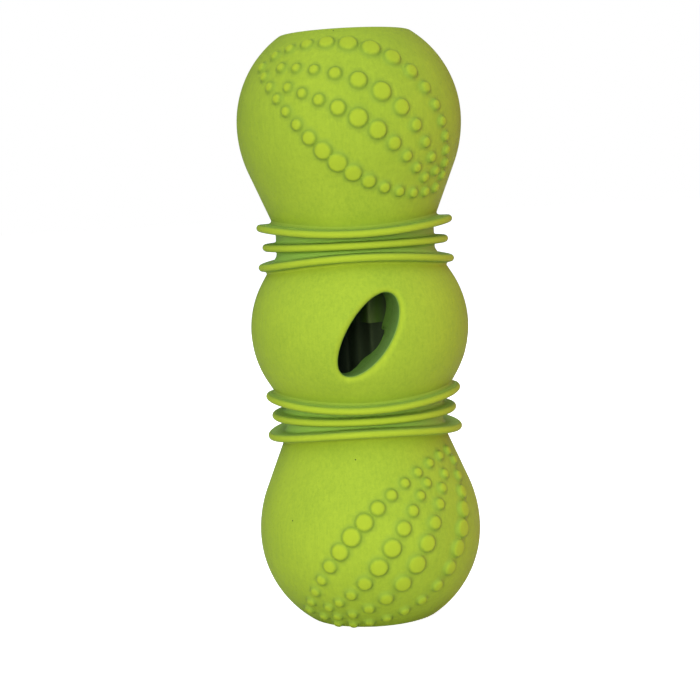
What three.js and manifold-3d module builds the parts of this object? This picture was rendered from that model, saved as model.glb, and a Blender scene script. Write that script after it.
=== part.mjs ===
// A hollow rubber treat toy for dogs. Three bulbs stand in one line, joined by two necks.
// Each neck carries three thin rings, and the two outer rings of a neck wave towards the middle one.
// Each end bulb has two leaf-shaped fields of round studs, on opposite sides.
// A ribbed liner in two halves runs down the hollow, and a slanted slot in the middle bulb opens into it.
// Lengths are millimetres and angles are degrees. The toy stands on its lower end, with +Z up its axis.
// Azimuth is measured round the axis from -Y, and is positive towards +X.

import * as THREE from 'three';
import { mergeVertices, toCreasedNormals } from 'three/addons/utils/BufferGeometryUtils.js';
import Module from 'manifold-3d';

// Middle bulb: a barrel arc that runs into the necks along a straight flank.
const MIDDLE_RADIUS = 30.85;
const MIDDLE_ARC_RADIUS = 27.2;
const MIDDLE_FLANK_ANGLE = 31.4;
const MIDDLE_FILLET = 2;

// Necks. The two lengths run from the neck's middle ring to the foot of each bulb's flank.
const NECK_RADIUS = 22.4;
const NECK_TO_MIDDLE_FOOT = 2.4;
const NECK_TO_END_FOOT = 5.1;

// End bulbs: a flank, a shoulder arc up to the widest place and a crown arc up to the flat end.
const END_RADIUS = 31.5;
const END_SHOULDER_RADIUS = 34;
const END_CROWN_RADIUS = 29.5;
const END_FLANK_ANGLE = 22.4;
const END_FILLET = 6;
const END_FACE_RADIUS = 18.2;
const END_EDGE_ROUND = 1.6;

// Hollow. Each end has a round mouth with a rounded lip, and the liner stops below the end wall.
const NECK_WALL = 2.8;
const END_WALL = 8.5;
const MOUTH_RADIUS = 10.5;
const MOUTH_LIP = 1.5;

// Liner. The upper half stands a little further into the hollow than the lower half.
const LINER_WALL = 1.4;
const RIB_COUNT = 11;
const RIB_HEIGHT = 5.2;
const LINER_STEP = 1.4;

// Rings. The middle ring of a neck is level and sits in a groove across the joint of two bulbs.
// The other two hug the feet of the bulbs, and stand further off at the sides than at the front and back.
// A reach is how far a ring stands out from the neck.
const RING_REACH = 5.3;
const MIDDLE_RING_REACH = 3.9;
const RING_THICKNESS = 2.2;
const RING_SPACING_SIDE = 5.6;
const RING_SPACING_FRONT = 3.2;
const RING_SEAT_DEPTH = 1;

// Slot in the middle bulb: a leaning ellipse, cut along Y, with a rounded outer edge. The cut starts clear
// of the surface by its overrun.
const SLOT_LENGTH = 25.4;
const SLOT_WIDTH = 11.8;
const SLOT_LEAN = 33.5;
const SLOT_OFFSET = -2.8;
const SLOT_EDGE_ROUND = 1.6;
const SLOT_OVERRUN = 3;

// Studs: low round buttons, small at both ends of a row and largest along its middle.
const STUD_HEIGHT = 1.1;
const STUD_ROOT = 0.7;
const STUD_SMALL = 2.6;
const STUD_LARGE = 5.1;
const STUD_TAPER = 0.74;

// A field of studs is a leaf between two tips. Tips are azimuths from the front and latitudes at the bulb's
// centre, which are positive towards the flat end. A bow is how far an edge of the leaf bends off the line
// between the tips, in degrees towards the flat end. Rows run from the leaf's outer edge to its inner one.
// Side is a row's share of the leaf's width, from the inner edge. A higher power draws a line's ends in, and
// a skew below 1 moves its bend towards the start. Largest says where along a row its studs are largest, and
// a higher swell leaves fewer large ones there. First and last are shares of a row's length. A lead below 1 moves
// the studs between them on towards the end, and a spread opens their spacing along the row's middle.
const FIELD_COUNT = 2;
const FIELDS = {
  upper: {
    start: { azimuth: -58.1, latitude: 28.9 },
    end: { azimuth: 61.5, latitude: -35 },
    outer: { bow: 44.3 },
    inner: { bow: -16.1, power: 0.845, skew: 1.256 },
    rows: [
      {
        side: 1, power: 0.636, skew: 1.127, largest: 0.385, swell: 6,
        count: 16, first: 0.004, last: 0.965, lead: 0.906, spread: 0.235,
      },
      {
        side: 0.671, power: 0.988, skew: 1.158, largest: 0.51, swell: 7,
        count: 11, first: 0.12, last: 0.917, lead: 1, spread: 0.155,
      },
      {
        side: 0.395, power: 1.291, skew: 1.218, largest: 0.53, swell: 8,
        count: 10, first: 0.201, last: 0.878, lead: 1, spread: 0.111,
      },
      {
        side: 0, power: 0.845, skew: 1.256, largest: 0.515, swell: 8,
        count: 15, first: 0.06, last: 0.975, lead: 1, spread: 0.031,
      },
    ],
  },
  lower: {
    start: { azimuth: -54.2, latitude: 42.1 },
    end: { azimuth: 67, latitude: -42.3 },
    outer: { bow: 37.4 },
    inner: { bow: -17.1, power: 0.989, skew: 0.943 },
    rows: [
      {
        side: 1, power: 0.806, skew: 1.003, largest: 0.708, swell: 3.2,
        count: 14, first: 0.112, last: 0.961, lead: 1, spread: 0.115,
      },
      {
        side: 0.651, power: 1.232, skew: 0.851, largest: 0.516, swell: 5,
        count: 12, first: 0.078, last: 0.871, lead: 1, spread: 0.162,
      },
      {
        side: 0.364, power: 1.577, skew: 0.79, largest: 0.462, swell: 8,
        count: 10, first: 0.147, last: 0.776, lead: 1, spread: 0.181,
      },
      {
        side: 0, power: 0.989, skew: 0.943, largest: 0.448, swell: 8,
        count: 15, first: 0.04, last: 0.977, lead: 1, spread: 0,
      },
    ],
  },
};

// The front of the toy, where the rings come closest, stands this far round from the slot's direction.
const FRONT_AZIMUTH = -9;

// Clearance left between two pieces that touch.
const CLEARANCE = 0.3;

// Facets.
const BODY_SEGMENTS = 26;
const RING_SEGMENTS = 32;
const RIB_STEPS = 6;
const SLOT_STEPS = 24;
const STUD_SIDES = 5;
const BARREL_STEPS = 5;
const SHOULDER_STEPS = 2;
const CROWN_STEPS = 6;
const ROUND_STEPS = 2;
const RIM_STEPS = 3;
const MERGE_DISTANCE = 1e-4;
const CREASE_ANGLE = 30;

const RUBBER_COLOUR = '#a9cb38';
const LINER_COLOUR = '#7fa636';
const RUBBER_ROUGHNESS = 0.62;

const wasm = await Module();
wasm.setup();

const radians = THREE.MathUtils.degToRad;

// Sizes that follow from the ones above, measured outwards from the toy's middle plane.
const middleFlank = radians(MIDDLE_FLANK_ANGLE);
const middleArcCentre = MIDDLE_RADIUS - MIDDLE_ARC_RADIUS;
const middleArcTop = new THREE.Vector2(
  middleArcCentre + MIDDLE_ARC_RADIUS * Math.cos(middleFlank),
  MIDDLE_ARC_RADIUS * Math.sin(middleFlank),
);
const middleFoot = middleArcTop.y + (middleArcTop.x - NECK_RADIUS) / Math.tan(middleFlank);
const neckCentre = middleFoot + NECK_TO_MIDDLE_FOOT;
const endFoot = neckCentre + NECK_TO_END_FOOT;

const endFlank = radians(END_FLANK_ANGLE);
const shoulderCentre = END_RADIUS - END_SHOULDER_RADIUS;
const shoulderFootRadius = shoulderCentre + END_SHOULDER_RADIUS * Math.cos(endFlank);
const shoulderFoot = endFoot + (shoulderFootRadius - NECK_RADIUS) / Math.tan(endFlank);
const equator = shoulderFoot + END_SHOULDER_RADIUS * Math.sin(endFlank);
const crownCentre = END_RADIUS - END_CROWN_RADIUS;
const crownTopAngle = Math.acos((END_FACE_RADIUS - crownCentre) / END_CROWN_RADIUS);
const halfLength = equator + END_CROWN_RADIUS * Math.sin(crownTopAngle);
const footLatitude = Math.atan2(shoulderFoot - equator, shoulderFootRadius);

const boreRadius = NECK_RADIUS - NECK_WALL;
const linerRadius = boreRadius - CLEARANCE;
const linerTop = halfLength - END_WALL - CLEARANCE;

// Points along an arc in the radius and height plane. Angles are radians from the radius axis.
function arc(centreRadius, centreHeight, radius, from, to, steps) {
  const points = [];
  for (let i = 0; i <= steps; i += 1) {
    const angle = THREE.MathUtils.lerp(from, to, i / steps);
    const x = centreRadius + radius * Math.cos(angle);
    points.push(new THREE.Vector2(x, centreHeight + radius * Math.sin(angle)));
  }
  return points;
}

// A rounded corner between two straight lines of an outline, as points.
function roundCorner(before, corner, after, radius) {
  const toBefore = before.clone().sub(corner).normalize();
  const toAfter = after.clone().sub(corner).normalize();
  const half = Math.acos(toBefore.dot(toAfter)) / 2;
  const start = corner.clone().addScaledVector(toBefore, radius / Math.tan(half));
  const end = corner.clone().addScaledVector(toAfter, radius / Math.tan(half));
  return new THREE.QuadraticBezierCurve(start, corner, end).getPoints(ROUND_STEPS);
}

// A solid turned about Z from a closed outline of radius and height.
function turned(outline, segments) {
  const closed = [...outline, outline[0]];
  return new THREE.LatheGeometry(closed, segments).rotateX(Math.PI / 2);
}

function toSolid(geometry) {
  const bare = geometry.clone();
  bare.deleteAttribute('normal');
  bare.deleteAttribute('uv');
  const merged = mergeVertices(bare, MERGE_DISTANCE);
  return new wasm.Manifold(new wasm.Mesh({
    numProp: 3,
    vertProperties: Float32Array.from(merged.attributes.position.array),
    triVerts: Uint32Array.from(merged.index.array),
  }));
}

function toGeometry(solid) {
  const mesh = solid.getMesh();
  const geometry = new THREE.BufferGeometry();
  geometry.setAttribute('position', new THREE.BufferAttribute(mesh.vertProperties, mesh.numProp));
  geometry.setIndex(new THREE.BufferAttribute(mesh.triVerts, 1));
  return geometry;
}

// The same shape below the middle plane. Its triangles are turned round, so the faces stay outside.
function mirrored(geometry) {
  const copy = geometry.clone().scale(1, 1, -1);
  const index = copy.index.array;
  for (let i = 0; i < index.length; i += 3) {
    [index[i], index[i + 1]] = [index[i + 1], index[i]];
  }
  return copy;
}

// The end of a bulb's neck, from its own wall to the joint, with half of the middle ring's groove.
// Side is 1 on the end bulb's side of the joint and -1 on the middle bulb's.
function neckEnd(side) {
  const seatRadius = NECK_RADIUS - RING_SEAT_DEPTH - CLEARANCE;
  const seatEdge = neckCentre + side * (RING_THICKNESS / 2 + CLEARANCE);
  const joint = neckCentre + side * CLEARANCE / 2;
  return [
    new THREE.Vector2(NECK_RADIUS, seatEdge),
    new THREE.Vector2(seatRadius, seatEdge),
    new THREE.Vector2(seatRadius, joint),
    new THREE.Vector2(boreRadius, joint),
  ];
}

// Outside of the upper half of the middle bulb, from its barrel arc to the joint.
function middleOutline() {
  const neck = neckEnd(-1);
  const foot = new THREE.Vector2(NECK_RADIUS, middleFoot);
  return [
    ...arc(middleArcCentre, 0, MIDDLE_ARC_RADIUS, 0, middleFlank, BARREL_STEPS),
    ...roundCorner(middleArcTop, foot, neck[0], MIDDLE_FILLET),
    ...neck,
  ];
}

// Outside of the upper bulb from the joint to the inner edge of the mouth.
function endOutline() {
  const neck = neckEnd(1);
  const foot = new THREE.Vector2(NECK_RADIUS, endFoot);
  const flankTop = new THREE.Vector2(shoulderFootRadius, shoulderFoot);
  const shoulder = arc(shoulderCentre, equator, END_SHOULDER_RADIUS, -endFlank, 0, SHOULDER_STEPS);
  const crown = arc(crownCentre, equator, END_CROWN_RADIUS, 0, crownTopAngle, CROWN_STEPS);
  const edge = new THREE.Vector2(END_FACE_RADIUS, halfLength);
  const mouthEdge = new THREE.Vector2(MOUTH_RADIUS, halfLength);
  const mouthFoot = new THREE.Vector2(MOUTH_RADIUS, halfLength - END_WALL);
  return [
    ...neck.reverse(),
    ...roundCorner(neck.at(-1), foot, flankTop, END_FILLET),
    ...shoulder,
    ...crown.slice(1, -1),
    ...roundCorner(crown.at(-2), edge, mouthEdge, END_EDGE_ROUND),
    ...roundCorner(edge, mouthEdge, mouthFoot, MOUTH_LIP),
    mouthFoot,
  ];
}

// Radius of the body at a height between the middle plane and an end bulb's shoulder.
function bodyRadius(height) {
  if (height < middleArcTop.y) {
    return middleArcCentre + Math.sqrt(MIDDLE_ARC_RADIUS ** 2 - height ** 2);
  }
  const onMiddleFlank = NECK_RADIUS + (middleFoot - height) * Math.tan(middleFlank);
  const onEndFlank = NECK_RADIUS + (height - endFoot) * Math.tan(endFlank);
  return Math.max(NECK_RADIUS, onMiddleFlank, onEndFlank);
}

// Where a ray from the end bulb's centre comes out: the radius, the height over the centre, and the normal's
// rise above the level. Latitude and rise are radians.
function endSurface(latitude) {
  const level = Math.cos(latitude);
  const up = Math.sin(latitude);
  if (latitude < footLatitude) {
    const levelRadius = shoulderFootRadius + (equator - shoulderFoot) * Math.tan(endFlank);
    const reach = levelRadius / (level - up * Math.tan(endFlank));
    return { radius: reach * level, height: reach * up, rise: -endFlank };
  }
  const centre = latitude < 0 ? shoulderCentre : crownCentre;
  const radius = latitude < 0 ? END_SHOULDER_RADIUS : END_CROWN_RADIUS;
  const reach = centre * level + Math.sqrt(radius ** 2 - (centre * up) ** 2);
  return { radius: reach * level, height: reach * up, rise: Math.asin((reach * up) / radius) };
}

// A unit vector. Azimuth and latitude are radians.
function direction(azimuth, latitude) {
  const level = Math.cos(latitude);
  return new THREE.Vector3(level * Math.sin(azimuth), -level * Math.cos(azimuth), Math.sin(latitude));
}

// The curve of a row of studs over the upper bulb, from the field's start to its end.
class StudRow extends THREE.Curve {
  constructor(field, row, turn) {
    super();
    const tip = ({ azimuth, latitude }) => {
      return direction(radians(azimuth + FRONT_AZIMUTH) + turn, radians(latitude));
    };
    this.start = tip(field.start);
    this.span = this.start.angleTo(tip(field.end));
    this.across = this.start.clone().cross(tip(field.end)).normalize();
    this.along = this.across.clone().cross(this.start);
    const { bow, power, skew } = field.inner;
    const rowBow = (field.outer.bow - bow) * row.side;
    this.bends = [{ bow, power, skew }, { bow: rowBow, power: row.power, skew: row.skew }];
  }

  // Ray from the bulb's centre through a place along the row.
  ray(t) {
    let bow = 0;
    for (const bend of this.bends) {
      bow += radians(bend.bow) * Math.sin(Math.PI * t ** bend.skew) ** bend.power;
    }
    const ray = this.start.clone().multiplyScalar(Math.cos(this.span * t));
    ray.addScaledVector(this.along, Math.sin(this.span * t));
    return ray.multiplyScalar(Math.cos(bow)).addScaledVector(this.across, Math.sin(bow));
  }

  getPoint(t, target = new THREE.Vector3()) {
    const ray = this.ray(t);
    const surface = endSurface(Math.asin(ray.z));
    const azimuth = Math.atan2(ray.x, -ray.y);
    const out = direction(azimuth, 0).multiplyScalar(surface.radius);
    return target.set(out.x, out.y, equator + surface.height);
  }

  // The surface's normal at a place along the row.
  normal(t) {
    const ray = this.ray(t);
    return direction(Math.atan2(ray.x, -ray.y), endSurface(Math.asin(ray.z)).rise);
  }
}

// A button on the surface, with its root sunk into the bulb.
function stud(point, normal, diameter) {
  const radius = diameter / 2;
  const height = STUD_HEIGHT + STUD_ROOT;
  const geometry = new THREE.CylinderGeometry(radius * STUD_TAPER, radius, height, STUD_SIDES);
  const upright = new THREE.Quaternion().setFromUnitVectors(new THREE.Vector3(0, 1, 0), normal);
  const centre = point.clone().addScaledVector(normal, height / 2 - STUD_ROOT);
  return geometry.applyQuaternion(upright).translate(centre.x, centre.y, centre.z);
}

// All the studs of a field, turned about the axis by an angle in radians.
function fieldStuds(field, turn) {
  const studs = [];
  for (const row of field.rows) {
    const line = new StudRow(field, row, turn);
    const skew = Math.log(0.5) / Math.log(row.largest);
    for (let i = 0; i < row.count; i += 1) {
      const step = (i / (row.count - 1)) ** row.lead;
      const spread = step - (row.spread * Math.sin(2 * Math.PI * step)) / (2 * Math.PI);
      const place = THREE.MathUtils.lerp(row.first, row.last, spread);
      const swell = Math.sin(Math.PI * place ** skew) ** row.swell;
      const t = line.getUtoTmapping(place);
      const diameter = THREE.MathUtils.lerp(STUD_SMALL, STUD_LARGE, swell);
      studs.push(stud(line.getPoint(t), line.normal(t), diameter));
    }
  }
  return studs;
}

// An end bulb with its fields of studs, standing above the middle plane.
function endBulb(field) {
  const boreEnd = new THREE.Vector2(boreRadius, halfLength - END_WALL);
  let bulb = toSolid(turned([...endOutline(), boreEnd], BODY_SEGMENTS));
  for (let copy = 0; copy < FIELD_COUNT; copy += 1) {
    for (const geometry of fieldStuds(field, (2 * Math.PI * copy) / FIELD_COUNT)) {
      bulb = bulb.add(toSolid(geometry));
    }
  }
  return toGeometry(bulb);
}

// Height of a ring above the middle plane, at an azimuth in radians.
function ringHeight(order, azimuth) {
  const facing = Math.cos(azimuth - radians(FRONT_AZIMUTH)) ** 2;
  return neckCentre + order * THREE.MathUtils.lerp(RING_SPACING_SIDE, RING_SPACING_FRONT, facing);
}

// A thin ring with a round edge, lifted along its wave, with a root that follows the body under it.
function ring(order) {
  const half = RING_THICKNESS / 2;
  const tip = NECK_RADIUS + (order === 0 ? MIDDLE_RING_REACH : RING_REACH) - half;
  const root = NECK_RADIUS - RING_SEAT_DEPTH;
  const outline = [
    new THREE.Vector2(root, -half),
    ...arc(tip, 0, half, -Math.PI / 2, Math.PI / 2, RIM_STEPS),
    new THREE.Vector2(root, half),
  ];
  const geometry = turned(outline, RING_SEGMENTS);
  const position = geometry.attributes.position;
  const point = new THREE.Vector3();
  for (let i = 0; i < position.count; i += 1) {
    point.fromBufferAttribute(position, i);
    const reach = Math.hypot(point.x, point.y);
    const isRoot = reach < NECK_RADIUS;
    point.z += ringHeight(order, Math.atan2(point.x, -point.y));
    if (order !== 0 && isRoot) {
      const seat = (bodyRadius(point.z) + CLEARANCE) / reach;
      point.set(point.x * seat, point.y * seat, point.z);
    }
    position.setXYZ(i, point.x, point.y, point.z);
  }
  return geometry;
}

// The space of the slot, from the axis out through the wall, widening over the rounded edge.
function slotSpace() {
  const lean = radians(SLOT_LEAN);
  const rows = [{ widen: 0, depth: null }];
  for (const point of arc(0, 0, SLOT_EDGE_ROUND, 0, Math.PI / 2, RIM_STEPS)) {
    rows.push({ widen: SLOT_EDGE_ROUND - point.x, depth: SLOT_EDGE_ROUND - point.y });
  }
  rows.push({ widen: SLOT_EDGE_ROUND + CLEARANCE, depth: -SLOT_OVERRUN });
  const positions = [];
  for (const row of rows) {
    for (let i = 0; i < SLOT_STEPS; i += 1) {
      const turn = (2 * Math.PI * i) / SLOT_STEPS;
      const along = (SLOT_LENGTH / 2 + row.widen) * Math.cos(turn);
      const across = (SLOT_WIDTH / 2 + row.widen) * Math.sin(turn);
      const x = SLOT_OFFSET + along * Math.sin(lean) + across * Math.cos(lean);
      const z = along * Math.cos(lean) - across * Math.sin(lean);
      const surface = Math.sqrt(bodyRadius(Math.abs(z)) ** 2 - x ** 2);
      const y = row.depth === null ? 0 : row.depth - surface;
      positions.push(x, y, z);
    }
  }
  const last = rows.length - 1;
  positions.push(SLOT_OFFSET, 0, 0);
  positions.push(SLOT_OFFSET, -MIDDLE_RADIUS - SLOT_OVERRUN, 0);
  const innerHub = rows.length * SLOT_STEPS;
  const index = [];
  for (let i = 0; i < SLOT_STEPS; i += 1) {
    const next = (i + 1) % SLOT_STEPS;
    index.push(innerHub, i, next);
    index.push(innerHub + 1, last * SLOT_STEPS + next, last * SLOT_STEPS + i);
    for (let row = 0; row < last; row += 1) {
      const a = row * SLOT_STEPS + i;
      const b = row * SLOT_STEPS + next;
      index.push(a, a + SLOT_STEPS, b);
      index.push(b, a + SLOT_STEPS, b + SLOT_STEPS);
    }
  }
  const geometry = new THREE.BufferGeometry();
  geometry.setAttribute('position', new THREE.Float32BufferAttribute(positions, 3));
  geometry.setIndex(index);
  return geometry;
}

// A ribbed tube standing on the middle plane, with one rib at the front of the toy.
function liner(widening) {
  const grooveRadius = linerRadius - LINER_WALL - LINER_STEP + widening;
  const shape = new THREE.Shape();
  shape.absarc(0, 0, linerRadius, 0, 2 * Math.PI, false);
  const bore = [];
  const total = RIB_COUNT * RIB_STEPS;
  for (let i = 0; i < total; i += 1) {
    const turn = (2 * Math.PI * i) / total;
    const rise = (1 + Math.cos(RIB_COUNT * turn)) / 2;
    const radius = grooveRadius - RIB_HEIGHT * rise;
    const azimuth = turn + radians(FRONT_AZIMUTH);
    bore.push(new THREE.Vector2(radius * Math.sin(azimuth), -radius * Math.cos(azimuth)));
  }
  shape.holes.push(new THREE.Path(bore));
  const bottom = CLEARANCE / 2;
  const options = { depth: linerTop - bottom, bevelEnabled: false, curveSegments: BODY_SEGMENTS / 2 };
  return new THREE.ExtrudeGeometry(shape, options).translate(0, 0, bottom);
}

const toy = new THREE.Group();
toy.position.z = halfLength;

function addPiece(name, geometry, colour) {
  const material = new THREE.MeshStandardMaterial({
    color: colour,
    roughness: RUBBER_ROUGHNESS,
    metalness: 0,
  });
  const mesh = new THREE.Mesh(toCreasedNormals(geometry, radians(CREASE_ANGLE)), material);
  mesh.name = name;
  toy.add(mesh);
}

const upperMiddle = middleOutline();
const lowerMiddle = upperMiddle.slice(1).map((point) => new THREE.Vector2(point.x, -point.y));
const slot = toSolid(slotSpace());
const middleBody = toSolid(turned([...lowerMiddle.reverse(), ...upperMiddle], BODY_SEGMENTS)).subtract(slot);
addPiece('middle_bulb', toGeometry(middleBody), RUBBER_COLOUR);

addPiece('upper_bulb', endBulb(FIELDS.upper), RUBBER_COLOUR);
addPiece('lower_bulb', mirrored(endBulb(FIELDS.lower)), RUBBER_COLOUR);

// Rings from the outermost to the one beside the middle bulb.
const RING_ORDERS = { outer: 1, middle: 0, inner: -1 };
for (const [place, order] of Object.entries(RING_ORDERS)) {
  const geometry = ring(order);
  addPiece(`upper_ring_${place}`, geometry, RUBBER_COLOUR);
  addPiece(`lower_ring_${place}`, mirrored(geometry), RUBBER_COLOUR);
}

const upperLiner = toSolid(liner(0)).subtract(slot);
const lowerLiner = toSolid(mirrored(toGeometry(toSolid(liner(LINER_STEP))))).subtract(slot);
addPiece('upper_liner', toGeometry(upperLiner), LINER_COLOUR);
addPiece('lower_liner', toGeometry(lowerLiner), LINER_COLOUR);

export default toy;
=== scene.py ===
"""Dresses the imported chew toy: studded rubber bulbs, waved neck rings and a ribbed hollow.

Lengths are metres and angles are degrees, unless a name or a comment says otherwise.
"""

import logging
import math
from abc import ABC, abstractmethod
from dataclasses import dataclass, field
from enum import Enum
from functools import cached_property
from typing import ClassVar

import bmesh
import bpy
import numpy as np
from mathutils import Matrix, Vector
from mathutils.geometry import delaunay_2d_cdt


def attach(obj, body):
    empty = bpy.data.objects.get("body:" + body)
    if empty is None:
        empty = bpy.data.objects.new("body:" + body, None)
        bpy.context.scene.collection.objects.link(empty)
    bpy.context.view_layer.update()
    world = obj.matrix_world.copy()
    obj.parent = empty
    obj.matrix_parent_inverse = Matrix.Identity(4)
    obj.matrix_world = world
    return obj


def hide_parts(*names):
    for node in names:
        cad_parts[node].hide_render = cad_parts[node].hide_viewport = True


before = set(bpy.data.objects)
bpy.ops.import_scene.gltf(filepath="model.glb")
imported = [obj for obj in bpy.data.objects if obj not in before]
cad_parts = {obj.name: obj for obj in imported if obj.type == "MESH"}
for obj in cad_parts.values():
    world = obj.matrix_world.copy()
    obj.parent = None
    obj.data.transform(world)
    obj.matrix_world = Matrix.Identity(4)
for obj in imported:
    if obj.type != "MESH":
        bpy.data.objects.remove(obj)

LOG = logging.getLogger("chew_toy")
MM = 0.001
FULL_TURN = 2 * math.pi
QUARTER_TURN = math.pi / 2
WELD_DISTANCE = 0.0005 * MM
SHARP_ANGLE = math.radians(40)
CONVEX_HULL = 0
FLAT_TOLERANCE = 1e-9
WIDEST_SPREAD = 180.0

# Each mesh keeps a painted light depth for each point: a painted highlight below 0, painted shade above 0.
# The finishes change colour at these depths.
PAINTED_LIGHT_LAYER = "crease"
HIGHLIGHT_DEPTH = -1.0
BARE_DEPTH = 0.0
GROOVE_DEPTH = 0.5
CREASE_DEPTH = 1.0
WALL_DEPTH = 2.0

Numbers = np.ndarray | float
Colour = tuple[float, float, float]
Socket = bpy.types.NodeSocket
WHITE: Colour = (1.0, 1.0, 1.0)


class Choice(Enum):
    """A choice whose name is a word in the names of pieces and nodes."""

    @property
    def word(self) -> str:
        """The choice's name in small letters."""
        return self.name.lower()


class End(Choice):
    """The two ends of the toy, each with its side of the middle plane."""

    UPPER = 1
    LOWER = -1


class RingPlace(Choice):
    """The three rings of a neck, each with its order outwards from the middle ring."""

    OUTER = 1
    MIDDLE = 0
    INNER = -1


class Slot(Enum):
    """The record's material slots."""

    GREEN = "green_rubber"
    LINER = "liner_rubber"


def arc(centre: tuple[float, float], radius: float, first: float, last: float, steps: int) -> np.ndarray:
    """Points along a circular arc in the plane of radius and height.

    Args:
        centre: Radius and height of the arc's centre.
        radius: The arc's own radius.
        first: Angle of the first point in radians, from the outward direction.
        last: Angle of the last point in radians.
        steps: How many steps the arc is cut into.

    Returns:
        One row of radius and height for each point.
    """
    turn = np.linspace(first, last, steps + 1)
    return np.column_stack((centre[0] + radius * np.cos(turn), centre[1] + radius * np.sin(turn)))


def around(radius: Numbers, azimuth: Numbers, height: Numbers) -> np.ndarray:
    """Points at a radius from the toy's axis.

    Args:
        radius: Distances from the axis, or one for all points.
        azimuth: Angles in radians from the front towards the right, or one for all points.
        height: Heights, or one for all points.

    Returns:
        One row of x, y and z for each point.
    """
    radius, azimuth, height = np.broadcast_arrays(radius, azimuth, height)
    return np.column_stack((
        (radius * np.sin(azimuth)).ravel(),
        (-radius * np.cos(azimuth)).ravel(),
        height.ravel(),
    ))


def azimuth_of(points: np.ndarray) -> np.ndarray:
    """Azimuths of points in radians, from the front towards the right."""
    return np.arctan2(points[:, 0], -points[:, 1])


def turns(count: int) -> np.ndarray:
    """Angles in radians that share a full turn evenly."""
    return np.arange(count) * FULL_TURN / count


def ease(part: np.ndarray) -> np.ndarray:
    """A smooth step from 0 to 1, level at both ends."""
    part = np.clip(part, 0, 1)
    return part * part * (3 - 2 * part)


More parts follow.
